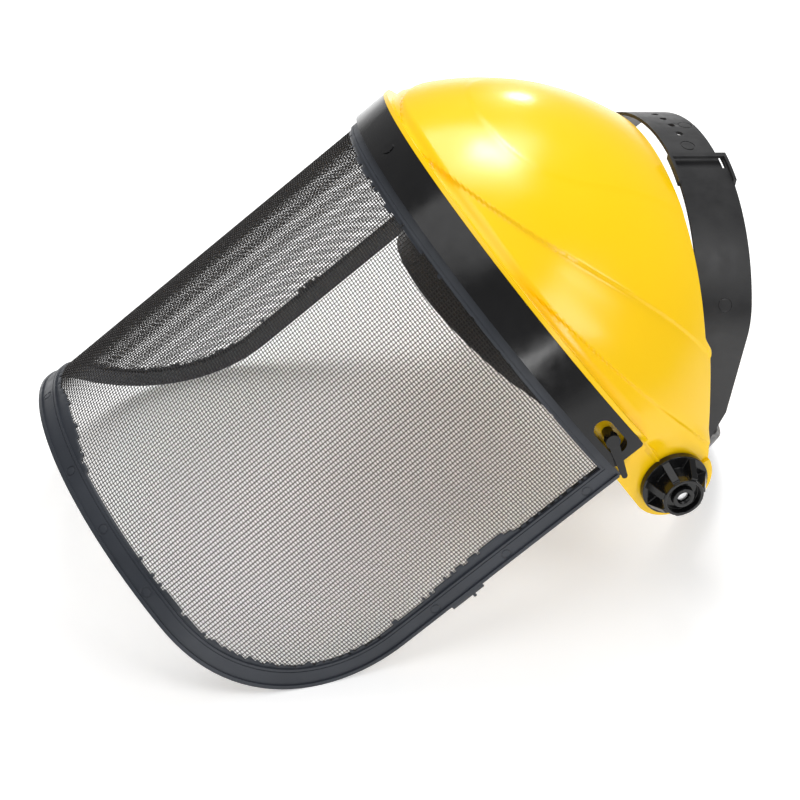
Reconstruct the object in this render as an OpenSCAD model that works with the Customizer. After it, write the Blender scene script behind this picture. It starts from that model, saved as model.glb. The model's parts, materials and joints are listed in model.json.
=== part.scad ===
// Brow guard with a wire mesh visor on a head harness, drawn as it lies on a table.
// Everything is laid out about the ear pivots: X to the wearer's left, Y to the back
// of the head, Z up along the visor. at_rest() then tips it onto the table.

/* [Visor] */
// Outer radius of the visor frame
visor_r = 124; // [110:1:140]
// How far the axis of the visor curve lies in front of the ear pivots
visor_ahead = 27; // [20:1:40]
// Height of the ear pivots above the chin edge
chin_drop = 211; // [170:1:240]
// Wall of the visor frame
frame_t = 3; // [2.4:0.1:5]
// Width of the frame around the mesh
frame_w = 9.5; // [7:0.5:16]
// Side view radius of the lower corners
corner_r = 74; // [40:1:90]
// Thickness of the flattened mesh
mesh_t = 0.4; // [0.3:0.1:1]

/* [Brow] */
// Height of the brow band
band_h = 16.5; // [12:0.5:24]
// Thickness of the brow band
band_t = 2; // [1.5:0.1:4]
// Top of the brow band above the ear pivots
band_top = 2.5; // [0:0.5:10]
// Outer radius of the crown dome
dome_r = 134; // [126:1:150]
// Dome radius in the plane of the brow band
dome_base_r = 126; // [112:1:142]
// Wall of the crown shell
shell_t = 2.5; // [1.6:0.1:4]
// Where the rear rim crosses the height of the pivots
rim_back = 17; // [5:1:30]
// Extra width of the rim below its step
rim_step = 5; // [0:1:10]

/* [Ear pivots] */
// Outer face of the shell's ear tabs from the middle
tab_x = 119; // [100:1:130]
// Thickness of the ear tabs
tab_t = 3; // [2:0.5:5]
// Radius of the ear tabs around the pivot
tab_r = 19; // [17:0.5:26]
// Pivot bolt diameter
bolt_d = 5; // [4:0.5:8]
// Running clearance of the pivots on the radius
run_gap = 0.06; // [0.02:0.01:0.1]
// Skirt diameter of the knobs
knob_d = 31; // [24:1:40]
// Height of the knobs
knob_h = 13; // [8:1:20]
// Finger ribs on a knob
knob_ribs = 7; // [4:1:12]

/* [Turn locks] */
// Slot length in the ends of the band
slot_l = 19; // [14:1:30]
// Slot width
slot_w = 9; // [7:0.5:11]
// Distance of the slot centre from the rear edge of the visor
slot_in = 21; // [16:1:30]
// Turn lock post diameter
post_d = 5; // [4:0.5:7]
// Length of the thumb wing
wing_l = 20; // [12:1:26]

/* [Harness] */
// Inner radius of the two ends of the headband
head_r = 76; // [68:1:86]
// Corner radius at the back of the headband
nape_r = 64; // [30:1:76]
// Length of the headband from front to back
head_len = 175; // [150:1:210]
// Front of the headband ahead of the pivots
head_front = 99; // [85:1:110]
// Height of the headband
headband_h = 28; // [20:1:40]
// Wall of the headband
headband_t = 2.4; // [1.6:0.1:4]
// Tilt of the headband against the brow guard
head_tilt = 14; // [0:1:30]
// Thickness of the sweatband
sweat_t = 5; // [3:0.5:8]
// Width of the wide half of the crown strap
strap_w = 27; // [18:1:34]
// Width of the holed half of the crown strap
strap_holed_w = 23.5; // [14:1:30]
// Thickness of the straps
strap_t = 1.5; // [1:0.1:2.5]
// Forward lean of the crown strap
strap_lean = 44.5; // [10:1:60]

/* [Resting on the table] */
// Shift that centres the outline over the origin
rest_shift = 96.3; // [0:0.1:200]

/* [Hidden] */
$fn = 128;

yellow = [1, 0.82, 0.05];
gloss_black = [0.06, 0.06, 0.07];
frame_grey = [0.17, 0.19, 0.23];
strap_black = [0.13, 0.13, 0.14];
mesh_grey = [0.3, 0.3, 0.3];
steel = [0.75, 0.75, 0.77];
stud_grey = [0.6, 0.6, 0.6];
foam_black = [0.1, 0.1, 0.1];

gap = 0.15;
eps = 0.01;
past = 10;
bite = 1;
reach = 400;
yv = -visor_ahead;
chin_z = -chin_drop;
band_bot = band_top - band_h;
strip_w = 5;
groove_depth = 4.5;
mesh_r = visor_r - frame_t / 2;
bead_t = 0.8;
bead_w = 1.8;
line_in = 8;
line_w = 0.4;
line_depth = 0.3;
mesh_play = 0.1;
mesh_end = 0.3;
frame_under = 0.5;
pin_mark_w = 0.6;
pin_mark_d = 5;
pin_mark_depth = 0.25;
band_r = visor_r + gap + band_t;
band_corner = 1.5;
band_short = 7.4;
lip_t = 2;
lip_gap = 0.2;
lip_proud = 0.4;
lip_z = band_top + lip_gap;
dome_z = lip_z - sqrt(pow(dome_r, 2) - pow(dome_base_r, 2));
skirt_gap = 0.4;
skirt_r = visor_r - frame_t - skirt_gap;
skirt_t = 3;
skirt_under = 2;
skirt_bot = band_bot - skirt_under;
skirt_over = 8;
rim_step_z = 50;
tab_front = yv - tab_r + bite;
tab_lap = 2;
tab_inset = 0.5;
slot_angle = slot_in / visor_r * 180 / PI;
slot_low = 0.5;
slot_z = (band_top + band_bot) / 2 - slot_low;
wing_gap = 0.5;
wing_h = 3;
wing_t = 2.6;
wing_drop = 19;
wing_rise = 0.8;
lock_disc_t = 2;
lock_gap = 0.2;
stud_d = 4;
stud_head_h = 0.4;
stud_rim = 1;
insert_d = 9;
insert_l = 8;
knob_gap = 0.2;
knob_x = tab_x + knob_gap;
skirt_h = 3.2;
knob_body_d = 19;
knob_recess = 3;
hub_d = 10;
rib_w = 3.4;
rib_in = 0.6;
cup_t = 1.5;
insert_in = 0.3;
insert_play = 0.5;
bolt_short = 2;
bolt_head_d = 9;
bolt_head_l = 3;
paddle_gap = 0.6;
paddle_x = tab_x - tab_t - paddle_gap;
paddle_t = 3;
paddle_d = 22;
lip_back = -22;
side_front = -52;
side_top = 33;
arm_room = 16;
arm_foot = 40;
arm_back = 12;
arm_h = 14;
arm_bite = 0.4;
arm_skin = 0.5;
arm_nose = 5;
arm_heel = 4;
head_cy = -head_front + head_r;
nape_cy = head_len - head_front - nape_r;
nape_cx = head_r - nape_r;
nape_y = head_len - head_front + headband_t;
nape_low_y = nape_y * cos(head_tilt) + headband_h / 2 * sin(head_tilt);
nape_low_z = nape_y * sin(head_tilt) - headband_h / 2 * cos(head_tilt);
corner_y = yv - corner_r;
corner_z = chin_z + corner_r;
span_a = nape_low_y - corner_y;
span_b = nape_low_z - corner_z;
rest_tilt = atan2(span_b, span_a) + asin(corner_r / norm([span_a, span_b]));
rest_lift = nape_low_y * sin(rest_tilt) - nape_low_z * cos(rest_tilt);
nape_cut = 6;
sweat_half = 62;
sweat_gap = 0.1;
sweat_drop = 1.5;
base_y = 24.5;
base_z = 14.5;
strap_play = 0.35;
strap_x = head_r + headband_t + 2 * strap_t + strap_play;
strap_foot = 11.5;
stud_up = -4;
stud_shaft = 4;
leg_l = 57;
side_r = 32;
crown_c = 30;
crown_r = side_r + norm([strap_x - side_r, leg_l - crown_c]);
strap_gap = 0.15;
arch_fill = 18;
foot_r = 7.5;
foot_taper = 16;
loop_x = 20;
loop_l = 16;
loop_t = 1.4;
loop_bar = 2.4;
loop_extra = 1;
loop_play = 0.6;
loop_z = 60;
seam_x = 28;
tail_x = 52;
hole_pitch = 9;
hole_d = 3.6;
ring_d = 7;
ring_w = 0.5;
ring_depth = 0.3;
strap_stud_d = 9;
stud_inside = 5.2;
stud_head_t = 1;
stud_cap_t = 1.6;

module at_rest() {
  translate([0, rest_shift, rest_lift]) rotate([-rest_tilt, 0, 0]) children();
}

// draws a side view (Y across, Z up) and pushes it through the whole width
module side_view(w = reach) {
  rotate([90, 0, 90]) linear_extrude(w, center = true) children();
}

module ring(r_out, r_in, z0, z1) {
  translate([0, yv, z0]) difference() {
    cylinder(r = r_out, h = z1 - z0);
    translate([0, 0, -eps]) cylinder(r = r_in, h = z1 - z0 + 2 * eps);
  }
}

// outline of the visor seen from the side, pulled in by inset, cut off at top
module visor_outline(inset, top) {
  front = yv - visor_r - past;
  rc = corner_r - inset;
  back = yv - inset;
  low = chin_z + inset;
  translate([front, low + rc]) square([back - front, top - low - rc]);
  translate([front, low]) square([back - rc - front, rc + eps]);
  translate([back - rc, low + rc]) circle(r = rc);
}

// puts things on the curved wall: along X at the given angle from the band end
module on_wall(angle, z, side) {
  mirror([side < 0 ? 1 : 0, 0, 0])
    translate([0, yv, z]) rotate([0, 0, -angle]) rotate([0, 90, 0]) children();
}

module slot_cut(side) {
  on_wall(slot_angle, slot_z, side) translate([0, 0, visor_r - past]) linear_extrude(2 * past) {
    translate([-slot_w / 2, -(slot_l - slot_w) / 2]) square([slot_w, slot_l - slot_w]);
    translate([0, -(slot_l - slot_w) / 2]) circle(d = slot_w);
    translate([0, (slot_l - slot_w) / 2]) circle(d = slot_w);
  }
}

module stud_bore(d) {
  translate([0, yv - skirt_r + past, slot_z]) rotate([90, 0, 0]) cylinder(d = d, h = 3 * past);
}

module crown_shell() color(yellow) at_rest() {
  difference() {
    union() {
      difference() {
        intersection() {
          translate([0, yv, dome_z]) difference() {
            sphere(r = dome_r);
            sphere(r = dome_r - shell_t);
          }
          dome_side();
        }
        for (s = [0, 1]) mirror([s, 0, 0]) outside_of_side();
      }
      intersection() {
        ring(dome_base_r + lip_proud, skirt_r - skirt_t, lip_z, lip_z + lip_t);
        side_view() translate([lip_back - reach, 0]) square([reach, reach]);
      }
      intersection() {
        ring(skirt_r, skirt_r - skirt_t, skirt_bot, lip_z + bite);
        side_view() translate([yv - reach, skirt_bot]) square([reach, 6 * past]);
      }
      for (s = [0, 1]) mirror([s, 0, 0]) ear_tab();
    }
    stud_bore(stud_d);
    for (s = [0, 1]) mirror([s, 0, 0]) rotate([0, 90, 0]) {
      translate([0, 0, tab_x - 2 * past]) cylinder(d = bolt_d + 2 * run_gap, h = 4 * past);
      translate([0, 0, tab_x - tab_t - 2 * past]) cylinder(r = arm_room, h = 2 * past);
    }
    for (s = [-1, 1]) on_wall(slot_angle, slot_z, s) {
      translate([0, 0, skirt_r - past]) cylinder(d = post_d + 2 * run_gap, h = 2 * past);
      translate([0, 0, skirt_r - past]) cylinder(d = post_d + 2 * tab_lap, h = past - skirt_t);
    }
  }
}

// the crown seen from the side: rear rim leaning forward, with its step
module dome_side() {
  side_view() polygon([
    [-reach, lip_z], [rim_back + rim_step - lip_z, lip_z],
    [rim_back + rim_step - rim_step_z, rim_step_z],
    [rim_back - rim_step_z, rim_step_z], [rim_back - reach, reach], [-reach, reach]]);
}

// all that lies outside the flattened side of the dome
module outside_of_side() {
  linear_extrude(reach) polygon([[tab_x, reach], [tab_x, lip_back],
     [band_r + lip_proud, side_front], [reach, side_front], [reach, reach]]);
}

module ear_tab() {
  a = tab_r * sqrt(2) / 2;
  intersection() {
    translate([0, 0, lip_z]) linear_extrude(side_top - lip_z) polygon([[tab_x, a],
      [tab_x, lip_back], [band_r + lip_proud, side_front], [band_r - 2 * band_t, side_front],
      [tab_x - tab_t, lip_back - tab_lap], [tab_x - tab_t, a]]);
    translate([0, yv, dome_z]) sphere(r = dome_r - tab_inset);
  }
  intersection() {
    translate([tab_x - tab_t, 0, 0]) rotate([90, 0, 90]) linear_extrude(tab_t) {
      circle(r = tab_r);
      polygon([[tab_front, lip_z], [tab_front, skirt_bot], [0, -tab_r], [a, a],
        [a - 2 * past, a + 2 * past], [tab_front, a + 2 * past]]);
    }
    union() {
      translate([0, yv, dome_z]) sphere(r = dome_r - tab_inset);
      translate([0, yv, -reach / 2]) cylinder(r = reach, h = reach / 2 + skirt_over);
    }
  }
}

module brow_band() color(gloss_black) at_rest() difference() {
  intersection() {
    ring(band_r, band_r - band_t, band_bot, band_top);
    side_view() {
      end = yv - band_short;
      translate([end - reach, band_bot]) square([reach - band_corner, band_h]);
      translate([end - reach, band_bot + band_corner])
        square([reach, band_h - 2 * band_corner]);
      for (z = [band_bot + band_corner, band_top - band_corner])
        translate([end - band_corner, z]) circle(r = band_corner);
    }
  }
  for (s = [-1, 1]) slot_cut(s);
  stud_bore(stud_d);
}

module visor_frame() color(frame_grey) at_rest() difference() {
  union() {
    intersection() {
      ring(visor_r, visor_r - frame_t, chin_z, band_top - frame_under);
      side_view() visor_outline(0, reach);
    }
    difference() {
      intersection() {
        ring(visor_r + bead_t, visor_r - bite, chin_z, band_bot - bite);
        side_view() visor_outline(0, reach);
      }
      side_view() visor_outline(bead_w, reach);
    }
  }
  side_view() visor_outline(frame_w, band_bot - strip_w);
  intersection() {
    ring(mesh_r + mesh_t / 2 + mesh_play, mesh_r - mesh_t / 2 - mesh_play, chin_z, band_bot - frame_under);
    side_view() visor_outline(frame_w - groove_depth, band_bot - strip_w + groove_depth);
  }
  // the rear corners end with the band that covers them
  side_view() translate([yv - band_short, band_bot]) square([past, band_h]);
  frame_line();
  for (s = [-1, 1]) slot_cut(s);
  stud_bore(stud_d);
  for (s = [-1, 1]) pin_marks(s);
}

// narrow groove that runs round the face of the frame
module frame_line() difference() {
  intersection() {
    ring(visor_r + bite, visor_r - line_depth, chin_z, band_bot - strip_w + frame_w);
    side_view() visor_outline(line_in, band_bot - strip_w + frame_w - line_in);
  }
  side_view() visor_outline(line_in + line_w, band_bot - strip_w + frame_w - line_in - line_w);
}

// shallow round marks left by the moulding tool along the frame
module pin_marks(side) {
  for (a = [44, 60, 76]) mark_at(a, chin_z + frame_w / 2, side);
  for (z = [-30, -75, -115]) mark_at(frame_w / 2 / visor_r * 180 / PI, z, side);
}

module mark_at(angle, z, side) {
  on_wall(angle, z, side) translate([0, 0, visor_r - pin_mark_depth]) difference() {
    cylinder(d = pin_mark_d, h = past / 2);
    translate([0, 0, -bite]) cylinder(d = pin_mark_d - 2 * pin_mark_w, h = past);
  }
}

module visor_mesh() color(mesh_grey) at_rest() intersection() {
  ring(mesh_r + mesh_t / 2, mesh_r - mesh_t / 2, chin_z, band_bot - frame_under);
  side_view() visor_outline(frame_w - groove_depth + mesh_end,
    band_bot - strip_w + groove_depth - mesh_end);
}

module front_stud() color(gloss_black) at_rest() translate([0, yv, slot_z])
  rotate([90, 0, 0]) {
    inside = skirt_r - skirt_t;
    translate([0, 0, inside]) cylinder(d = stud_d, h = band_r - inside + stud_head_h / 2);
    translate([0, 0, band_r]) cylinder(d = stud_d + 2 * stud_rim, h = stud_head_h);
  }

module turnlock(side) color(gloss_black) at_rest()
  on_wall(slot_angle, slot_z, side) rotate([0, 0, 90]) {
    disc = skirt_r - skirt_t - lock_gap - lock_disc_t;
    wing = band_r + wing_gap;
    translate([0, 0, disc]) cylinder(d = post_d + 3, h = lock_disc_t);
    translate([0, 0, disc + lock_disc_t / 2])
      cylinder(d = post_d, h = wing + wing_h / 2 - disc - lock_disc_t / 2);
    translate([0, 0, wing]) rotate([0, 0, -wing_drop]) {
      linear_extrude(wing_h) hull() {
        circle(d = post_d);
        translate([wing_l - wing_t / 2, 0]) circle(d = wing_t);
      }
      cylinder(d = post_d + 1.5, h = wing_h + wing_rise);
    }
  }

module turnlock_left() turnlock(1);
module turnlock_right() turnlock(-1);

module head_frame() {
  rotate([head_tilt, 0, 0]) children();
}

module head_oval(r) {
  grow = r - head_r;
  translate([0, head_cy]) circle(r = r);
  translate([-r, head_cy]) square([2 * r, nape_cy - head_cy]);
  for (s = [-1, 1]) translate([s * nape_cx, nape_cy]) circle(r = nape_r + grow);
  translate([-nape_cx, nape_cy]) square([2 * nape_cx, nape_r + grow]);
}

module headband() color(strap_black) at_rest() difference() {
  head_frame() difference() {
    union() {
      translate([0, 0, -headband_h / 2]) linear_extrude(headband_h) difference() {
        head_oval(head_r + headband_t);
        head_oval(head_r);
      }
      for (s = [0, 1]) mirror([s, 0, 0]) side_arm();
    }
    nape_taper();
    for (s = [0, 1]) mirror([s, 0, 0]) {
      translate([paddle_x - 2 * past, 0, 0]) rotate([0, 90, 0]) cylinder(d = bolt_d, h = 3 * past);
      translate([paddle_x - paddle_t - bolt_head_l, 0, 0]) rotate([0, 90, 0])
        cylinder(d = bolt_head_d, h = bolt_head_l);
    }
  }
  strap_frame() for (s = [0, 1]) mirror([s, 0, 0]) stud_drill();
}

// takes the top of the headband down towards the nape
module nape_taper() {
  top = headband_h / 2;
  side_view() polygon([[0, top], [nape_y, top - nape_cut], [2 * nape_y, top - nape_cut],
    [2 * nape_y, 2 * top], [0, 2 * top]]);
}

// bridge that carries the pivot out from the headband to the ear tab
module side_arm() {
  x0 = head_r + arm_bite;
  x1 = paddle_x;
  f = arm_foot;
  g = arm_back;
  p = paddle_d / 2;
  translate([0, 0, -arm_h / 2]) linear_extrude(arm_h) difference() {
    polygon([[x0, -f], [x0 + headband_t, -f], [x1, -p], [x1, p], [x0 + headband_t, g], [x0, g]]);
    polygon([[x0 - bite, arm_nose - f], [x0 + headband_t - arm_skin, arm_nose - f],
      [x1 - paddle_t, bite - p], [x1 - paddle_t, p - bite],
      [x0 + headband_t - arm_skin, g - arm_heel], [x0 - bite, g - arm_heel]]);
  }
  translate([x1 - paddle_t, 0, 0]) rotate([0, 90, 0]) cylinder(d = paddle_d, h = paddle_t);
}

module sweatband() color(foam_black) at_rest() head_frame()
  translate([0, head_cy, -headband_h / 2 - sweat_drop]) linear_extrude(headband_h) intersection() {
    difference() {
      circle(r = head_r - sweat_gap);
      circle(r = head_r - sweat_gap - sweat_t);
    }
    polygon([[0, 0], [-reach * sin(sweat_half), -reach * cos(sweat_half)],
      [reach * sin(sweat_half), -reach * cos(sweat_half)]]);
  }

// frame of the crown strap: base points at its origin, Z up the strap
module strap_frame() {
  translate([0, base_y, base_z]) rotate([strap_lean, 0, 0]) children();
}

// side band of the strap arch: legs, shoulders and crown, drawn in the X Z plane
module arch(inner) {
  xs = strap_x - side_r;
  t0 = atan2(leg_l - crown_c, xs);
  for (s = [-1, 1]) {
    translate([s > 0 ? xs : -strap_x + inner, -strap_foot])
      square([side_r - inner, leg_l + strap_foot]);
    translate([s * xs, leg_l]) circle(r = side_r - inner);
  }
  intersection() {
    translate([0, crown_c]) circle(r = crown_r - inner);
    polygon([[0, crown_c], [reach * cos(t0), crown_c + reach * sin(t0)],
      [-reach * cos(t0), crown_c + reach * sin(t0)]]);
  }
  translate([-xs, -strap_foot]) square([2 * xs, leg_l + strap_foot + arch_fill]);
}

module arch_band(outer, inner, w) {
  rotate([90, 0, 0]) linear_extrude(w, center = true) difference() {
    arch(outer);
    arch_core(inner);
  }
}

module arch_core(inner) {
  arch(inner);
  translate([inner - strap_x, -2 * past]) square([2 * (strap_x - inner), 3 * past]);
}

// side view of a strap end, narrowed and rounded off around its stud
module strap_end(w) side_view() {
  foot_z = foot_r - strap_foot;
  translate([-w / 2, foot_taper]) square([w, reach]);
  polygon([[-w / 2, foot_taper + eps], [-foot_r, foot_z], [foot_r, foot_z], [w / 2, foot_taper + eps]]);
  translate([0, foot_z]) circle(r = foot_r);
}

// bounds a stretch of the arch between two distances from its middle
module stretch(from, to, low = -2 * past) {
  translate([from, -reach / 2, low]) cube([to - from, reach, reach]);
}

// ring left by the moulding tool, on an outer face that lies at the given height
module ring_mark(h) {
  translate([0, 0, h - ring_depth]) difference() {
    cylinder(d = ring_d, h = past / 2);
    translate([0, 0, -bite]) cylinder(d = ring_d - 2 * ring_w, h = past);
  }
}

// turns things to stand on the crown of the arch, or on its shoulder
module on_crown(angle, y) {
  translate([0, y, crown_c]) rotate([0, angle, 0]) children();
}

module on_shoulder(angle) {
  translate([strap_x - side_r, 0, leg_l]) rotate([0, 90 - angle, 0]) children();
}

module strap_loop() difference() {
  intersection() {
    arch_band(-loop_t, strap_t, strap_w + 2 * loop_extra);
    stretch(loop_x, loop_x + loop_l, loop_z);
  }
  intersection() {
    arch_band(-loop_t - bite, 0, strap_w - bite);
    stretch(loop_x + loop_bar, reach, loop_z);
  }
}

module crown_strap_left() color(strap_black) at_rest() strap_frame() {
  difference() {
    union() {
      intersection() {
        arch_band(0, strap_t, strap_w);
        strap_end(strap_w);
        stretch(seam_x, reach);
      }
      strap_loop();
      translate([strap_x - strap_t, 0, stud_up]) rotate([0, -90, 0])
        cylinder(d = strap_stud_d, h = strap_t + strap_gap);
    }
    intersection() {
      arch_band(-loop_play / 3, strap_t + bite, strap_holed_w + 2 * loop_play);
      stretch(loop_x - past, loop_x + loop_l / 2, loop_z);
    }
    on_shoulder(28) ring_mark(side_r);
    stud_drill();
  }
}

module crown_strap_right() color(strap_black) at_rest() strap_frame() {
  outer = strap_t + strap_gap;
  difference() {
    intersection() {
      arch_band(outer, outer + strap_t, strap_holed_w);
      strap_end(strap_holed_w);
      stretch(-reach, tail_x);
    }
    for (i = [0 : 3]) translate([-hole_pitch * i, 0, loop_z]) cylinder(d = hole_d, h = 8 * past);
    on_crown(7, 0) ring_mark(crown_r - outer);
    on_crown(-6, 7) ring_mark(crown_r - outer);
    mirror([1, 0, 0]) stud_drill();
  }
}

module stud_drill() {
  translate([strap_x - 2 * past, 0, stud_up]) rotate([0, 90, 0])
    cylinder(d = stud_shaft, h = 3 * past);
}

module strap_stud(side) color(stud_grey) at_rest() strap_frame()
  mirror([side < 0 ? 1 : 0, 0, 0]) translate([0, 0, stud_up]) rotate([0, 90, 0]) {
    outer = strap_x - (side > 0 ? 0 : strap_t + strap_gap) + eps;
    inner = head_r - stud_inside;
    translate([0, 0, outer]) cylinder(d = strap_stud_d, h = stud_cap_t);
    translate([0, 0, inner]) cylinder(d = stud_shaft, h = outer - inner + stud_cap_t / 2);
    translate([0, 0, inner]) cylinder(d = strap_stud_d - 2, h = stud_head_t);
  }

module strap_stud_left() strap_stud(1);
module strap_stud_right() strap_stud(-1);

module pivot_bolt(side) color(steel) at_rest() mirror([side < 0 ? 1 : 0, 0, 0])
  translate([paddle_x - paddle_t - bolt_head_l, 0, 0]) rotate([0, 90, 0]) {
    cylinder(d = bolt_head_d, h = bolt_head_l, $fn = 6);
    cylinder(d = bolt_d, h = knob_x + knob_h - bolt_short - paddle_x + paddle_t + bolt_head_l);
  }

module pivot_bolt_left() pivot_bolt(1);
module pivot_bolt_right() pivot_bolt(-1);

module knob(side) color(gloss_black) at_rest() mirror([side < 0 ? 1 : 0, 0, 0])
  translate([knob_x, 0, 0]) rotate([0, 90, 0]) difference() {
    union() {
      cylinder(d = knob_d, h = skirt_h);
      cylinder(d = knob_body_d, h = knob_h);
      for (i = [0 : knob_ribs - 1]) rotate([0, 0, i * 360 / knob_ribs]) rib();
    }
    translate([0, 0, knob_h - knob_recess]) difference() {
      cylinder(d = knob_body_d - 2 * cup_t, h = knob_recess + bite);
      translate([0, 0, -bite]) cylinder(d = hub_d, h = knob_recess + 3 * bite);
    }
    translate([0, 0, -bite]) cylinder(d = insert_d, h = insert_l + bite + insert_play);
    translate([0, 0, -bite]) cylinder(d = bolt_d + bite, h = knob_h + 3 * bite);
  }

module rib() {
  r1 = knob_d / 2 - rib_in;
  rotate([90, 0, 0]) linear_extrude(rib_w, center = true)
    polygon([[0, 0], [r1, 0], [r1, skirt_h], [knob_body_d / 2 + bite, knob_h - bite],
      [knob_body_d / 2 - bite, knob_h - bite], [0, bite]]);
}

module knob_left() knob(1);
module knob_right() knob(-1);

module knob_insert(side) color(steel) at_rest() mirror([side < 0 ? 1 : 0, 0, 0])
  translate([knob_x + insert_in, 0, 0]) rotate([0, 90, 0]) difference() {
    cylinder(d = insert_d, h = insert_l);
    translate([0, 0, -bite]) cylinder(d = bolt_d + 2 * run_gap, h = insert_l + 2 * bite);
  }

module knob_insert_left() knob_insert(1);
module knob_insert_right() knob_insert(-1);

crown_shell();
brow_band();
visor_frame();
visor_mesh();
front_stud();
turnlock_left();
turnlock_right();
headband();
sweatband();
crown_strap_left();
crown_strap_right();
strap_stud_left();
strap_stud_right();
pivot_bolt_left();
pivot_bolt_right();
knob_left();
knob_right();
knob_insert_left();
knob_insert_right();
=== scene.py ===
import json
import math

import bmesh
import bpy
from mathutils import Matrix, Vector, noise


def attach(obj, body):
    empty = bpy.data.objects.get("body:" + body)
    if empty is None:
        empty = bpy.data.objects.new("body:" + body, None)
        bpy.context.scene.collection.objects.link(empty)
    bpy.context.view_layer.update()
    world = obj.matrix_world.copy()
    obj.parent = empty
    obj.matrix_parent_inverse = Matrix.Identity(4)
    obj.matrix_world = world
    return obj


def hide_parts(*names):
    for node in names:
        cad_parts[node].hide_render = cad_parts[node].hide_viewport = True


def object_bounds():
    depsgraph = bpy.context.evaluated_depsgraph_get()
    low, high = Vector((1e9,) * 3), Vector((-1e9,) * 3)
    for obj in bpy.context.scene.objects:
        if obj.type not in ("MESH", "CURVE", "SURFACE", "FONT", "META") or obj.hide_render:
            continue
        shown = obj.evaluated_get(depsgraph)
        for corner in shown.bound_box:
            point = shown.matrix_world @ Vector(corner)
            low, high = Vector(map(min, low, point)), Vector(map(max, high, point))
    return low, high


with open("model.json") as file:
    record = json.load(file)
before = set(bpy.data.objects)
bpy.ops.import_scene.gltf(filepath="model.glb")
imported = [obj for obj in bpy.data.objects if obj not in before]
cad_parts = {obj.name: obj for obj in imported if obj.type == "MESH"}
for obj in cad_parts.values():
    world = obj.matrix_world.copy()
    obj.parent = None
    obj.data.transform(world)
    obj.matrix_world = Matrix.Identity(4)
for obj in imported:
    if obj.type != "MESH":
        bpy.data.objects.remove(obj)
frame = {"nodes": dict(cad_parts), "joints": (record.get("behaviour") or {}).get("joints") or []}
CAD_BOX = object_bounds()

# The parts are laid out about the ear pivots, in millimetres: X to the wearer's left,
# Y to the back of the head and Z up along the visor. TO_ROW tips them onto the floor.
JOINTS = {joint["name"]: joint for joint in frame["joints"]}
PIVOT = Vector(JOINTS["visor_lift"]["pos_m"])
LOCK_AXIS = Vector(JOINTS["lock_turn_left"]["axis"])
TILT = math.atan2(LOCK_AXIS.z, -LOCK_AXIS.y)
TO_ROW = Matrix.Translation(PIVOT) @ Matrix.Rotation(-TILT, 4, "X") @ Matrix.Scale(0.001, 4)

# Visor
VISOR_R = 124.0
AXIS_Y = -27.0
CHIN_Z = -211.0
FRAME_T = 3.0
FRAME_W = 9.5
CORNER_R = 74.0
MESH_R = VISOR_R - FRAME_T / 2
WINDOW_TOP = -19.0
WIRE_D = 0.44
PITCH_ROUND = 1.8
PITCH_UP = 1.33
WIRE_INSET = 6.5

# Crown shell
DOME_R = 134.0
DOME_BASE_R = 126.0
LIP_Z = 2.7
LIP_T = 2.0
DOME_Z = LIP_Z - math.sqrt(DOME_R**2 - DOME_BASE_R**2)
SHELL_T = 2.5
RIM_BACK = 17.0
RIM_STEP = 5.0
RIM_STEP_Z = 50.0
RIM_EASE = 0.8
TAB_X = 119.0
TAB_R = 19.0
TAB_FRONT = -45.0
SKIRT_BOT = -16.0
SKIRT_R = 120.6
SKIRT_T = 3.0
BORE_R = 2.6
LIP_BACK = -22.0
SIDE_FRONT = -52.0
SIDE_FRONT_X = 126.55
LIP_PROUD = 1.7
LIP_SINK = 0.5
LIP_START = (26.0, 38.0)
LIP_OUT = 0.4
SIDE_ROUND = 5.0
TAB_FLAT_R = 17.0
TAB_BLEND_R = 30.0
LIP_LAP = 0.5
# Degrees up from the front between which the lip and the rear rim are looked for
LIP_SEARCH = (-5, 60)
RIM_SEARCH = (20, 125)
# Creases: depth, sharpness, and how far below each one the surface comes back
CREASE_MAIN = (1.2, 1.2, 26.0)
CREASE_LOW = (1.2, 1.1, 16.0)
CREASE_LOW_ENDS = (38.0, 50.0)
# Heights of the creases, as powers of how far ahead they are, and by degrees from the side
MAIN_RISE = (3.25, 11.6, 33.4)
LOW_RISE = (19.7, -0.28)
# The gutter above the lip: depth, heights between which it fades, and where it starts
GUTTER_DEPTH = 1.7
GUTTER_FADE = (0.5, 5.5)
GUTTER_START = (28.0, 46.0)
# Forehead pad: height of its raised border, half width, rear end and length, then
# the rough distance from its outline to its middle, and the widths of its edge and border
PAD_RISE = 0.35
PAD_HALF = 51.0
PAD_BACK_Z = 60.0
PAD_L = 26.0
PAD_SCALE = 12.0
PAD_EDGE = 1.5
PAD_BORDER = 11.0
SIDE_SLOPE = (SIDE_FRONT_X - TAB_X) / (LIP_BACK - SIDE_FRONT)


def smooth(a, b, v):
    t = min(1.0, max(0.0, (v - a) / (b - a)))
    return t * t * (3 - 2 * t)


def mix(a, b, t):
    return a + (b - a) * t


def piece(name, verts, faces, body, material, place=TO_ROW):
    """A smooth shaded mesh piece, given about the pivots, riding on a body."""
    mesh = bpy.data.meshes.new(name)
    mesh.from_pydata(verts, [], faces)
    mesh.transform(place)
    mesh.polygons.foreach_set("use_smooth", [True] * len(mesh.polygons))
    mesh.materials.append(material)
    obj = bpy.data.objects.new(name, mesh)
    bpy.context.scene.collection.objects.link(obj)
    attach(obj, body)
    return obj


def round_edges(obj, width, angle=35):
    """Rounds the sharp edges of a piece by width millimetres."""
    edge = obj.modifiers.new("edges", "BEVEL")
    edge.width = width / 1000
    edge.segments = 2
    edge.limit_method = "ANGLE"
    edge.angle_limit = math.radians(angle)
    edge.use_clamp_overlap = True
    shade = obj.modifiers.new("shade", "WEIGHTED_NORMAL")
    shade.weight = 80


# ---------------------------------------------------------------- materials


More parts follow.
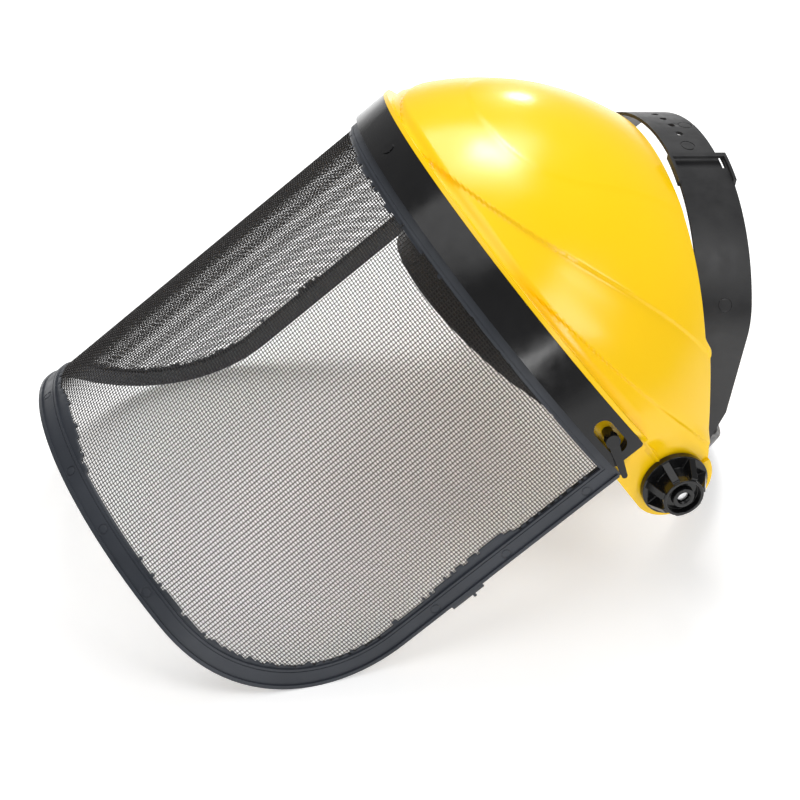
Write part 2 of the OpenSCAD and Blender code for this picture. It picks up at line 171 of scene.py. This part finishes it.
# Nearly all of a noise lies between these values
NOISE_LOW = 0.3
NOISE_HIGH = 0.7


class Nodes:
    """A short way to write a node tree."""

    def __init__(self, name):
        self.material = bpy.data.materials.new(name)
        self.material.use_nodes = True
        self.tree = self.material.node_tree
        self.shader = self.tree.nodes["Principled BSDF"]
        self.place = self.tree.nodes.new("ShaderNodeTexCoord").outputs["Object"]

    def set(self, socket, value):
        self.shader.inputs[socket].default_value = value

    def noise(self, scale, detail, rough=0.5):
        node = self.tree.nodes.new("ShaderNodeTexNoise")
        node.inputs["Scale"].default_value = scale
        node.inputs["Detail"].default_value = detail
        node.inputs["Roughness"].default_value = rough
        self.tree.links.new(self.place, node.inputs["Vector"])
        return node.outputs["Fac"]

    def cells(self, scale):
        node = self.tree.nodes.new("ShaderNodeTexVoronoi")
        node.inputs["Scale"].default_value = scale
        self.tree.links.new(self.place, node.inputs["Vector"])
        return node.outputs["Distance"]

    def roughness(self, value, smoothest, roughest, top=NOISE_HIGH):
        """Lets a noise set the roughness between two limits."""
        node = self.tree.nodes.new("ShaderNodeMapRange")
        node.inputs["From Min"].default_value = NOISE_LOW
        node.inputs["From Max"].default_value = top
        node.inputs["To Min"].default_value = smoothest
        node.inputs["To Max"].default_value = roughest
        self.tree.links.new(value, node.inputs["Value"])
        self.link(node.outputs["Result"], "Roughness")

    def colour(self, value, dark, light):
        """Lets a noise set the colour between two others."""
        node = self.tree.nodes.new("ShaderNodeValToRGB")
        ends = node.color_ramp.elements
        for end, where, tone in zip(ends, (NOISE_LOW, NOISE_HIGH), (dark, light)):
            end.position = where
            end.color = (*tone, 1)
        self.tree.links.new(value, node.inputs["Fac"])
        self.link(node.outputs["Color"], "Base Color")

    def bump(self, value, height, strength, under=None):
        """The normals of a surface with this relief, on top of another one if there is one."""
        node = self.tree.nodes.new("ShaderNodeBump")
        node.inputs["Strength"].default_value = strength
        node.inputs["Distance"].default_value = height
        self.tree.links.new(value, node.inputs["Height"])
        if under:
            self.tree.links.new(under, node.inputs["Normal"])
        return node.outputs["Normal"]

    def link(self, value, socket):
        self.tree.links.new(value, self.shader.inputs[socket])


def yellow_plastic():
    n = Nodes("yellow_plastic")
    n.set("Subsurface Weight", 0.08)
    n.set("Subsurface Scale", 0.004)
    n.set("Specular IOR Level", 0.5)
    n.set("Subsurface Radius", (1.0, 0.7, 0.1))
    n.colour(n.noise(9, 3), (1.0, 0.6, 0.0), (1.0, 0.63, 0.002))
    n.roughness(n.noise(55, 4), 0.2, 0.26)
    wave = n.bump(n.noise(90, 1), 0.00006, 0.5)
    n.link(n.bump(n.noise(1400, 2), 0.00001, 0.35, wave), "Normal")
    return n.material


def gloss_black():
    n = Nodes("gloss_black_plastic")
    n.set("Specular IOR Level", 0.4)
    n.colour(n.noise(35, 4), (0.005, 0.005, 0.0055), (0.009, 0.009, 0.0095))
    n.roughness(n.noise(160, 5, 0.6), 0.1, 0.2, 0.75)
    wave = n.bump(n.noise(60, 2), 0.0001, 0.5)
    n.link(n.bump(n.noise(1500, 3), 0.00002, 0.4, wave), "Normal")
    return n.material


def frame_plastic():
    n = Nodes("frame_plastic")
    n.set("Specular IOR Level", 0.45)
    n.colour(n.noise(28, 5), (0.022, 0.026, 0.034), (0.034, 0.039, 0.05))
    n.roughness(n.noise(120, 4), 0.36, 0.5)
    wave = n.bump(n.noise(180, 3), 0.00008, 0.5)
    n.link(n.bump(n.noise(2400, 2), 0.00003, 0.5, wave), "Normal")
    return n.material


def coated_wire():
    n = Nodes("coated_wire")
    n.set("Specular IOR Level", 0.45)
    n.colour(n.noise(300, 3), (0.006, 0.005, 0.005), (0.014, 0.011, 0.01))
    n.roughness(n.noise(600, 2), 0.3, 0.45)
    return n.material


def harness_plastic():
    n = Nodes("harness_plastic")
    n.set("Specular IOR Level", 0.45)
    n.colour(n.noise(45, 5), (0.012, 0.012, 0.013), (0.021, 0.021, 0.022))
    n.roughness(n.noise(140, 5, 0.6), 0.33, 0.5)
    wave = n.bump(n.noise(70, 3), 0.00015, 0.5)
    n.link(n.bump(n.noise(2200, 3), 0.00003, 0.6, wave), "Normal")
    return n.material


def stud_plastic():
    n = Nodes("stud_plastic")
    n.colour(n.noise(200, 3), (0.2, 0.2, 0.2), (0.32, 0.32, 0.31))
    n.roughness(n.noise(300, 3), 0.35, 0.5)
    return n.material


def zinc_steel():
    n = Nodes("zinc_steel")
    n.set("Metallic", 1.0)
    n.colour(n.noise(400, 3), (0.62, 0.62, 0.64), (0.8, 0.8, 0.8))
    n.roughness(n.noise(900, 2), 0.22, 0.36)
    return n.material


def foam_cloth():
    n = Nodes("foam_cloth")
    n.set("Specular IOR Level", 0.25)
    n.set("Sheen Weight", 0.3)
    n.colour(n.noise(500, 3), (0.012, 0.012, 0.012), (0.03, 0.03, 0.03))
    n.set("Roughness", 0.85)
    n.link(n.bump(n.cells(700), 0.0003, 0.8), "Normal")
    return n.material


YELLOW = yellow_plastic()
GLOSS_BLACK = gloss_black()
FRAME_PLASTIC = frame_plastic()
WIRE = coated_wire()
HARNESS = harness_plastic()
STUD = stud_plastic()
STEEL = zinc_steel()
FOAM = foam_cloth()

# ---------------------------------------------------------------- woven mesh


def outline_low(y, inset):
    """Lowest Z of the visor outline at a side view Y, pulled in by inset."""
    low = CHIN_Z + inset
    r = CORNER_R - inset
    behind = y - (AXIS_Y - CORNER_R)
    if behind <= 0:
        return low
    if behind >= r:
        return low + r
    return low + r - math.sqrt(r * r - behind * behind)


def inside(phi, z, inset):
    """Is a point of the visor cylinder inside the outline pulled in by inset?"""
    y = AXIS_Y - MESH_R * math.sin(phi)
    return y <= AXIS_Y - inset and z >= outline_low(y, inset) and z <= WINDOW_TOP + FRAME_W - inset


ROUND_N = int(math.pi * MESH_R / PITCH_ROUND)
UP_N = int((WINDOW_TOP - CHIN_Z) / PITCH_UP)
# The wires run on a little under the top bar of the frame
ROWS_N = UP_N + 8


def phi_of(i):
    return math.pi * (i + 0.5) / ROUND_N


def z_of(j):
    return CHIN_Z + PITCH_UP * (j + 0.5)


def tube(centres, sides, verts, faces):
    """Adds a four sided tube through centres, whose cross directions are in sides."""
    first = len(verts)
    for centre, (a, b) in zip(centres, sides):
        verts += [centre + a, centre + b, centre - a, centre - b]
    for ring in range(len(centres) - 1):
        at = first + 4 * ring
        for k in range(4):
            faces.append((at + k, at + (k + 1) % 4, at + 4 + (k + 1) % 4, at + 4 + k))
    last = first + 4 * (len(centres) - 1)
    faces.append((first + 3, first + 2, first + 1, first))
    faces.append((last, last + 1, last + 2, last + 3))


def weave(name, along_z, wires, crossings):
    """Wires of one direction, passing over and under the others."""
    verts, faces = [], []
    half = WIRE_D / 2
    for w in wires:
        centres, sides = [], []
        for k in range(crossings):
            i, j = (w, k) if along_z else (k, w)
            phi, z = phi_of(i), z_of(j)
            if not inside(phi, z, WIRE_INSET):
                continue
            out = Vector((math.cos(phi), -math.sin(phi), 0))
            across = Vector((math.sin(phi), math.cos(phi), 0)) if along_z else Vector((0, 0, 1))
            lift = half * (1 if (i + j + along_z) % 2 else -1)
            centres.append(Vector((0, AXIS_Y, z)) + out * (MESH_R + lift))
            sides.append((out * half, across * half))
        if len(centres) > 1:
            tube(centres, sides, verts, faces)
    made = piece(name, verts, faces, "guard", WIRE)
    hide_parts("visor_mesh")


weave("wires_down_left", True, range(ROUND_N // 2), ROWS_N)
weave("wires_down_right", True, range(ROUND_N // 2, ROUND_N), ROWS_N)
weave("wires_round_lower", False, range(UP_N // 2), ROUND_N)
weave("wires_round_upper", False, range(UP_N // 2, ROWS_N), ROUND_N)

# ---------------------------------------------------------------- moulding flash

FLASH_T = 0.9
FLASH_LAP = 2.5
# Where the top, rear and far edges begin and end, by height and by degrees from the left
TOP_Z = -45
REAR_Z = -150
REAR_TURN = 14
FAR_TURN = 160
# Widths along the rear edge by height, and along the chin and the top by degrees
FLASH_REAR = [(-150, 0.8), (-140, 0.8), (-133, 2.4), (-126, 0.5), (-120, 1.2), (-105, 3.4),
              (-90, 4.2), (-72, 5.5), (-64, 0.6), (-50, 0.3)]
FLASH_CHIN = [(0, 0.8), (40, 2.2), (50, 1.2), (75, 1.3), (84, 5), (97, 5.5), (106, 2), (180, 1)]
FLASH_TOP = [(0, 0.3), (60, 0.4), (70, 2), (95, 2.6), (120, 1.5), (180, 0.6)]
FLASH_FAR = 1.6
FLASH_TEETH = 1.5
# How far plastic ran out past the rear edge, by height
LUMP_ENDS = (-114, -86)
LUMP_TEETH = 2.0
LUMP_COLS = 4
LUMP = [(-114, -1), (-110, 2.5), (-107, 4.3), (-98, 3.8), (-91, 2.4), (-86, -1)]


def table(points, at):
    """Straight line interpolation in a list of (place, value)."""
    for (a, va), (b, vb) in zip(points, points[1:]):
        if at <= b:
            return mix(va, vb, min(1.0, max(0.0, (at - a) / (b - a))))
    return points[-1][1]


def ragged(size, across, up, seed):
    """A random width of up to size, at a place scaled by how fast it should change."""
    return size * noise.noise(Vector((across, up, seed)))


def flash_width(phi, z):
    """How far the flash reaches in from the frame."""
    turn = math.degrees(phi)
    teeth = ragged(FLASH_TEETH, phi * 95, z * 0.9, 3)
    if z > TOP_Z:
        return table(FLASH_TOP, turn) + teeth
    if turn < REAR_TURN and z > REAR_Z:
        return table(FLASH_REAR, z) + teeth
    if turn > FAR_TURN:
        return FLASH_FAR + ragged(FLASH_FAR, 0, z * 0.045, 8) + teeth
    return table(FLASH_CHIN, turn) + teeth


def flash_cells():
    """Mesh cells next to the frame that the plastic ran into."""
    cells = set()
    for i in range(ROUND_N):
        for j in range(ROWS_N):
            phi, z = phi_of(i), z_of(j)
            if not inside(phi, z, FRAME_W - FLASH_LAP):
                continue
            if not inside(phi, z, FRAME_W + flash_width(phi, z)):
                cells.add((i, j))
    return cells


def lump_cells():
    """Plastic that ran out past the rear edge of the visor on the left side."""
    cells = set()
    for i in range(-LUMP_COLS, 1):
        for j in range(UP_N):
            phi, z = phi_of(i), z_of(j)
            reach = table(LUMP, z) + ragged(LUMP_TEETH, phi * 70, z * 0.6, 5)
            if -phi * MESH_R < reach and LUMP_ENDS[0] < z < LUMP_ENDS[1]:
                cells.add((i, j))
    return cells


def plate(name, cells):
    """A thin curved plate made of mesh cells."""
    verts, faces, index = [], [], {}

    def corner(i, j, outer):
        key = (i, j, outer)
        if key not in index:
            phi = phi_of(i - 0.5)
            r = MESH_R + (FLASH_T / 2 if outer else -FLASH_T / 2)
            index[key] = len(verts)
            verts.append(Vector((r * math.cos(phi), AXIS_Y - r * math.sin(phi), z_of(j - 0.5))))
        return index[key]

    for i, j in sorted(cells):
        ring = [(i, j), (i + 1, j), (i + 1, j + 1), (i, j + 1)]
        faces.append([corner(a, b, False) for a, b in ring])
        faces.append([corner(a, b, True) for a, b in reversed(ring)])
        beyond = [(i, j - 1), (i + 1, j), (i, j + 1), (i - 1, j)]
        for k, other in enumerate(beyond):
            if other not in cells:
                p, q = ring[k], ring[(k + 1) % 4]
                faces.append([corner(*q, False), corner(*p, False), corner(*p, True), corner(*q, True)])
    made = piece(name, verts, faces, "guard", FRAME_PLASTIC)
    made.modifiers.new("shade", "WEIGHTED_NORMAL")


plate("visor_flash", flash_cells())
plate("visor_flash_rear", lump_cells())

# ---------------------------------------------------------------- crown shell


def soft_min(a, b, k):
    h = min(1.0, max(0.0, 0.5 + 0.5 * (b - a) / k))
    return mix(b, a, h) - k * h * (1 - h)


def step_in(over, depth, sharp, fade):
    """The full depth just under a crease, falling to zero above it and again further below."""
    return depth * (1 - smooth(-sharp, 0, over)) * (1 - smooth(0.3 * fade, fade, -over))


def relief(p):
    """How far the styled surface stands out from the plain dome at p."""
    turn = math.degrees(math.atan2(AXIS_Y - p.y, abs(p.x)))
    ahead = math.cos(math.radians(turn))
    over_main = p.z - sum(rise * ahead**power for power, rise in enumerate(MAIN_RISE))
    over_low = p.z - LOW_RISE[0] - LOW_RISE[1] * turn
    out = -step_in(over_main, *CREASE_MAIN)
    out -= step_in(over_low, *CREASE_LOW) * (1 - smooth(*CREASE_LOW_ENDS, turn))
    gutter = 1 - smooth(*GUTTER_FADE, p.z - LIP_Z - LIP_T)
    out -= GUTTER_DEPTH * gutter * smooth(*GUTTER_START, -p.y)
    pad = (abs(p.x) / PAD_HALF) ** 3 + (max(0.0, PAD_BACK_Z - p.z) / PAD_L) ** 3
    within = PAD_SCALE * (1 - pad)
    border = smooth(-PAD_EDGE, PAD_EDGE, within) * (1 - smooth(0, PAD_BORDER, within))
    out += PAD_RISE * border
    return out


def shell_point(beta, alpha):
    """Outer surface seen from between the ears: beta from the left ear, alpha up from the front."""
    d = Vector((math.cos(beta), -math.sin(beta) * math.cos(alpha), math.sin(beta) * math.sin(alpha)))
    heart = Vector((0, AXIS_Y, DOME_Z))
    along = d.dot(heart)
    r = along + math.sqrt(along**2 - heart.length_squared + DOME_R**2)
    across = abs(d.x)
    if across > 0.05:
        flat = TAB_X / across
        slant = (TAB_X + SIDE_SLOPE * LIP_BACK) / max(0.05, across + SIDE_SLOPE * d.y)
        side = -soft_min(-flat, -slant, SIDE_ROUND)
        near = math.tan(min(beta, math.pi - beta)) * TAB_X
        free = soft_min(r, side, SIDE_ROUND)
        r = mix(flat, free, smooth(TAB_FLAT_R, TAB_BLEND_R, near))
    p = d * r
    return p + d * relief(p)


def rim_reach(p):
    """Positive where p lies behind the rear rim of the shell."""
    step = 1 - smooth(RIM_STEP_Z - RIM_EASE, RIM_STEP_Z + RIM_EASE, p.z)
    return p.y + p.z - RIM_BACK - RIM_STEP * step


def solve(test, low, high):
    """The angle between low and high degrees where test turns positive."""
    low, high = math.radians(low), math.radians(high)
    for _ in range(40):
        middle = (low + high) / 2
        if test(middle) > 0:
            high = middle
        else:
            low = middle
    return high


def sweep(profile, start, end, steps, verts, faces):
    """Sweeps a closed profile of (radius, z) points round the visor axis, with end caps."""
    first, n = len(verts), len(profile)
    for k in range(steps + 1):
        phi = math.radians(mix(start, end, k / steps))
        for r, z in profile:
            y = AXIS_Y - r * math.sin(phi)
            proud = LIP_PROUD * smooth(*LIP_START, -y) - LIP_SINK
            side = TAB_X + SIDE_SLOPE * (LIP_BACK - y) + proud
            x = max(-side, min(side, r * math.cos(phi))) if r > SKIRT_R else r * math.cos(phi)
            verts.append(Vector((x, y, z)))
    for k in range(steps):
        for i in range(n):
            a, b = first + k * n + i, first + k * n + (i + 1) % n
            faces.append((a, b, b + n, a + n))
    faces.append(tuple(range(first + n - 1, first - 1, -1)))
    faces.append(tuple(range(first + steps * n, first + steps * n + n)))


def crown_sheet():
    """The shell's outer surface as one grid from ear to ear, with a disc round each pivot."""
    verts, faces = [], []
    beta_0 = math.atan(TAB_R / TAB_X)
    base_z = LIP_Z + LIP_LAP
    cols, rows = 360, 120
    grid = []
    for i in range(cols + 1):
        beta = mix(beta_0, math.pi - beta_0, i / cols)
        low = solve(lambda a: shell_point(beta, a).z - base_z, *LIP_SEARCH)
        high = solve(lambda a: rim_reach(shell_point(beta, a)), *RIM_SEARCH)
        line = []
        for j in range(rows + 1):
            line.append(len(verts))
            verts.append(shell_point(beta, mix(low, high, j / rows)))
        grid.append(line)
    for i in range(cols):
        for j in range(rows):
            faces.append((grid[i][j], grid[i][j + 1], grid[i + 1][j + 1], grid[i + 1][j]))
    outline = [verts[k] for k in grid[0]]
    angle = math.atan2(outline[-1].z, -outline[-1].y)
    while angle < 1.5 * math.pi:
        outline.append(Vector((TAB_X, -TAB_R * math.cos(angle), TAB_R * math.sin(angle))))
        angle += math.radians(5)
    foot = [(-11 * k, -TAB_R + 0.7 * k) for k in range(4)]
    foot += [(TAB_FRONT, SKIRT_BOT * k / 2) for k in (2, 1, 0)]
    outline += [Vector((TAB_X, y, z)) for y, z in foot]
    edge = [verts[line[0]] for line in grid if verts[line[0]].y > TAB_FRONT and verts[line[0]].x > 0]
    outline += reversed(edge[1:])
    rings = 8
    for side in (1, -1):
        first = len(verts)
        for p in outline:
            toward = Vector((0, p.y, p.z)).normalized() * BORE_R
            start = Vector((TAB_X, toward.y, toward.z))
            for k in range(rings + 1):
                q = start.lerp(p, k / rings)
                verts.append(Vector((side * q.x, q.y, q.z)))
        n = len(outline)
        for i in range(n):
            a, b = first + i * (rings + 1), first + (i + 1) % n * (rings + 1)
            for k in range(rings):
                quad = (a + k, a + k + 1, b + k + 1, b + k)
                faces.append(quad if side < 0 else quad[::-1])
    return verts, faces


def crown_moulding():
    """The crown sheet with its wall thickness."""
    verts, faces = crown_sheet()
    sheet = piece("crown_shell_moulding", verts, faces, "guard", YELLOW)
    mesh = bmesh.new()
    mesh.from_mesh(sheet.data)
    bmesh.ops.remove_doubles(mesh, verts=mesh.verts, dist=0.00002)
    bmesh.ops.recalc_face_normals(mesh, faces=mesh.faces)
    highest = max(mesh.faces, key=lambda f: f.calc_center_median().z)
    if highest.normal.z < 0:
        bmesh.ops.reverse_faces(mesh, faces=mesh.faces)
    mesh.to_mesh(sheet.data)
    mesh.free()
    wall = sheet.modifiers.new("wall", "SOLIDIFY")
    wall.thickness = SHELL_T / 1000
    wall.offset = -1
    round_edges(sheet, 0.5)
    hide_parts("crown_shell")


def crown_lip():
    """The skirt behind the brow band and the lip that stands out above it."""
    verts, faces = [], []
    inner = SKIRT_R - SKIRT_T
    top = LIP_Z + LIP_LAP
    skirt = [(inner, SKIRT_BOT), (SKIRT_R, SKIRT_BOT), (SKIRT_R, top), (inner, top)]
    sweep(skirt, 0, 180, 120, verts, faces)
    edge = DOME_BASE_R + LIP_OUT
    lip = [(inner, LIP_Z), (edge, LIP_Z), (edge, LIP_Z + LIP_T), (edge - LIP_T, LIP_Z + LIP_T),
           (inner, LIP_Z + LIP_T + 1)]
    behind = math.degrees(math.asin((LIP_BACK - AXIS_Y) / edge))
    sweep(lip, -behind, 180 + behind, 160, verts, faces)
    rim = piece("crown_shell_lip", verts, faces, "guard", YELLOW)
    round_edges(rim, 0.4)
    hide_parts("crown_shell")


crown_moulding()
crown_lip()

# ---------------------------------------------------------------- carried-over CAD nodes


def finish_node(name, material, width=0.3):
    """Gives a CAD node its material and slightly rounded edges."""
    obj = frame["nodes"][name]
    obj.data.materials.clear()
    obj.data.materials.append(material)
    weld = obj.modifiers.new("weld", "WELD")
    weld.merge_threshold = 0.00001
    round_edges(obj, width)
    return obj


finish_node("brow_band", GLOSS_BLACK, 0.4)
finish_node("visor_frame", FRAME_PLASTIC, 0.25)
finish_node("front_stud", GLOSS_BLACK, 0.2)
finish_node("headband", HARNESS, 0.4)
for side in ("left", "right"):
    finish_node("turnlock_" + side, GLOSS_BLACK, 0.4)
    finish_node("crown_strap_" + side, HARNESS, 0.3)
    finish_node("strap_stud_" + side, STUD, 0.3)
    finish_node("pivot_bolt_" + side, STEEL, 0.2)
    finish_node("knob_" + side, GLOSS_BLACK, 0.4)
    finish_node("knob_insert_" + side, STEEL, 0.2)

# ---------------------------------------------------------------- sweatband

HEAD_TILT = math.radians(14)
HEAD_R = 75.9
HEAD_CY = -23.0
SWEAT_T = 5.0
SWEAT_H = 28.0
SWEAT_LOW = -15.2
SWEAT_HALF = math.radians(61.5)
HEM_T = 1.3
# The pad thickens in two steps in from its rim: where each starts and ends, and its share
PUFFS = [(0, 2.0, 0.45), (3.0, 7.5, 0.55)]
SEAM_IN = 2.6
SEAM_HALF = 0.35
SEAM_DEPTH = 0.35


def sweatband():
    """A foam pad in a cloth sleeve, hemmed all round and stitched along its two edges."""
    across, up = 220, 36
    verts, faces = [], []
    tilt = Matrix.Rotation(HEAD_TILT, 4, "X")

    def spot(i, j, inner):
        u, v = i / across, j / up
        rim = min(min(u, 1 - u) * 2 * SWEAT_HALF * HEAD_R, min(v, 1 - v) * SWEAT_H)
        puff = sum(share * smooth(start, end, rim) for start, end, share in PUFFS)
        wave = 0.25 * noise.noise(Vector((u * 22, v * 3, 1)))
        stitches = 0.6 + 0.4 * math.sin(u * across * 2.2)
        seam = SEAM_DEPTH * math.exp(-(((rim - SEAM_IN) / SEAM_HALF) ** 2)) * stitches
        thick = HEM_T + (SWEAT_T - HEM_T) * puff + wave * puff - seam
        a = mix(-SWEAT_HALF, SWEAT_HALF, u)
        r = HEAD_R - (thick if inner else 0)
        return tilt @ Vector((r * math.sin(a), HEAD_CY - r * math.cos(a), SWEAT_LOW + v * SWEAT_H))

    index = {}
    for inner in (0, 1):
        for i in range(across + 1):
            for j in range(up + 1):
                index[i, j, inner] = len(verts)
                verts.append(spot(i, j, inner))
    for i in range(across):
        for j in range(up):
            ring = [(i, j), (i + 1, j), (i + 1, j + 1), (i, j + 1)]
            faces.append([index[a, b, 0] for a, b in ring])
            faces.append([index[a, b, 1] for a, b in reversed(ring)])
    border = [(i, 0) for i in range(across)] + [(across, j) for j in range(up)]
    border += [(i, up) for i in range(across, 0, -1)] + [(0, j) for j in range(up, 0, -1)]
    for p, q in zip(border, border[1:] + border[:1]):
        faces.append([index[*q, 0], index[*p, 0], index[*p, 1], index[*q, 1]])
    pad = piece("sweatband_pad", verts, faces, "harness", FOAM)
    round_edges(pad, 0.5)
    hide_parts("sweatband")


sweatband()

# ---------------------------------------------------------------- floor, light, camera

CENTRE = (CAD_BOX[0] + CAD_BOX[1]) / 2


def floor():
    size = 12.0
    mesh = bpy.data.meshes.new("floor")
    corners = [(-size, -size, 0), (size, -size, 0), (size, size, 0), (-size, size, 0)]
    mesh.from_pydata(corners, [], [(0, 1, 2, 3)])
    material = bpy.data.materials.new("floor_paint")
    material.use_nodes = True
    shader = material.node_tree.nodes["Principled BSDF"]
    shader.inputs["Base Color"].default_value = (0.86, 0.86, 0.86, 1)
    shader.inputs["Roughness"].default_value = 0.9
    shader.inputs["Emission Color"].default_value = (1, 1, 1, 1)
    shader.inputs["Emission Strength"].default_value = 0.4
    mesh.materials.append(material)
    obj = bpy.data.objects.new("floor", mesh)
    bpy.context.scene.collection.objects.link(obj)


def soft_light(name, place, size, watts):
    data = bpy.data.lights.new(name, "AREA")
    data.shape = "RECTANGLE"
    data.size, data.size_y = size
    data.energy = watts
    obj = bpy.data.objects.new(name, data)
    bpy.context.scene.collection.objects.link(obj)
    obj.location = CENTRE + Vector(place)
    obj.rotation_mode = "QUATERNION"
    obj.rotation_quaternion = (-Vector(place)).to_track_quat("-Z", "Y")


def studio():
    world = bpy.data.worlds.new("studio")
    world.use_nodes = True
    world.node_tree.nodes["Background"].inputs["Color"].default_value = (1, 1, 1, 1)
    world.node_tree.nodes["Background"].inputs["Strength"].default_value = 0.3
    bpy.context.scene.world = world
    floor()
    soft_light("key", (-0.55, 0.36, 1.0), (0.26, 0.26), 4)
    soft_light("key_glow", (-0.62, 0.26, 1.05), (0.75, 0.7), 6)
    soft_light("glint", (-1.05, 0.57, 0.28), (0.07, 0.07), 0.5)
    soft_light("right", (0.72, 0.55, 0.8), (0.5, 0.5), 3.6)
    soft_light("front", (1.35, -0.5, 0.3), (0.3, 0.4), 2.8)
    soft_light("top", (0.1, -0.5, 1.5), (1.2, 1.2), 7.5)
    settings = bpy.context.scene.view_settings
    settings.view_transform = "Standard"
    settings.look = "None"


def camera():
    """The photograph's point of view, found by laying the render over it."""
    azimuth, elevation, roll = math.radians(75.13), math.radians(37.0), math.radians(-3.82)
    distance = 1.057
    aim = CENTRE + Vector((0.0214, 0.0008, -0.0324))
    back = Vector((math.sin(azimuth) * math.cos(elevation),
                   -math.cos(azimuth) * math.cos(elevation), math.sin(elevation)))
    data = bpy.data.cameras.new("camera")
    data.sensor_width = 36
    data.lens = 101.71
    obj = bpy.data.objects.new("camera", data)
    bpy.context.scene.collection.objects.link(obj)
    obj.location = aim + back * distance
    obj.rotation_mode = "QUATERNION"
    level = (-back).to_track_quat("-Z", "Y")
    obj.rotation_quaternion = level @ Matrix.Rotation(roll, 4, "Z").to_quaternion()
    bpy.context.scene.camera = obj


studio()
camera()
